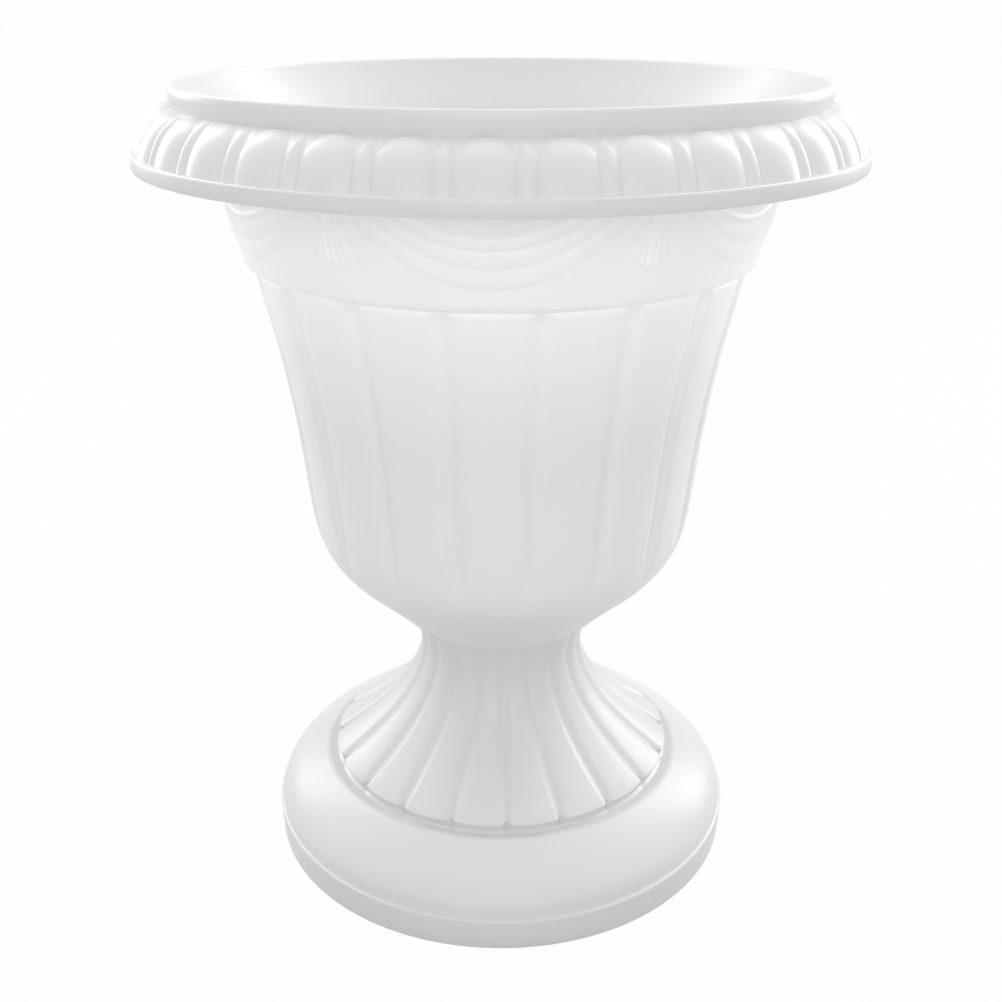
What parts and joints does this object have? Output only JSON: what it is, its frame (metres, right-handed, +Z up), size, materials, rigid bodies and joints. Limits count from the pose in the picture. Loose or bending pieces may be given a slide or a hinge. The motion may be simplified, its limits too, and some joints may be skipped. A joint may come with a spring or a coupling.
{
  "type": "column planter",
  "caption": "Pedestal urn planter: fluted bowl with egg-and-dart rim and swagged frieze, bolted to a fluted round foot, with drain plugs.",
  "frame": {"origin": "centre of the base, on the surface that the planter stands on", "axes": "+Z up along the planter's axis; a swag of the frieze hangs at the front, which faces -Y"},
  "size_m": [0.2586, 0.2582, 0.305],
  "materials": {
    "white_plastic": "satin white moulded polypropylene",
    "white_nylon": "plain off-white nylon",
    "grey_rubber": "matt dark grey rubber"
  },
  "bodies": {
    "pedestal": {"pedestal": "white_plastic"},
    "clamp": {"clamp_bolt": "white_nylon", "bolt_seal": "grey_rubber"},
    "bowl": {"bowl": "white_plastic"},
    "washer": {"clamp_washer": "white_nylon"},
    "nut": {"wing_nut": "white_nylon"},
    "plug_1": {"drain_plug_1": "grey_rubber"},
    "plug_2": {"drain_plug_2": "grey_rubber"},
    "plug_3": {"drain_plug_3": "grey_rubber"}
  },
  "joints": [
    {"name": "bowl_lift", "type": "slide", "parent": "pedestal", "child": "clamp", "axis": [0, 0, 1], "range_m": [0, 0.06]},
    {"name": "bowl_turn", "type": "hinge", "parent": "clamp", "child": "bowl", "pos_m": [0, 0, 0.095], "axis": [0, 0, 1], "continuous": true},
    {"name": "washer_drop", "type": "slide", "parent": "pedestal", "child": "washer", "axis": [0, 0, -1], "range_m": [0, 0.0175]},
    {"name": "wing_nut_turn", "type": "hinge", "parent": "washer", "child": "nut", "pos_m": [0, 0, 0.074], "axis": [0, 0, -1], "range_deg": [0, 5040]},
    {"name": "plug_1_pull", "type": "slide", "parent": "bowl", "child": "plug_1", "axis": [0, 0, 1], "range_m": [0, 0.03]},
    {"name": "plug_2_pull", "type": "slide", "parent": "bowl", "child": "plug_2", "axis": [0, 0, 1], "range_m": [0, 0.03]},
    {"name": "plug_3_pull", "type": "slide", "parent": "bowl", "child": "plug_3", "axis": [0, 0, 1], "range_m": [0, 0.03]}
  ],
  "couplings": [
    {"joint": "washer_drop", "follows": "wing_nut_turn", "m_per_rad": 0.00019894}
  ]
}
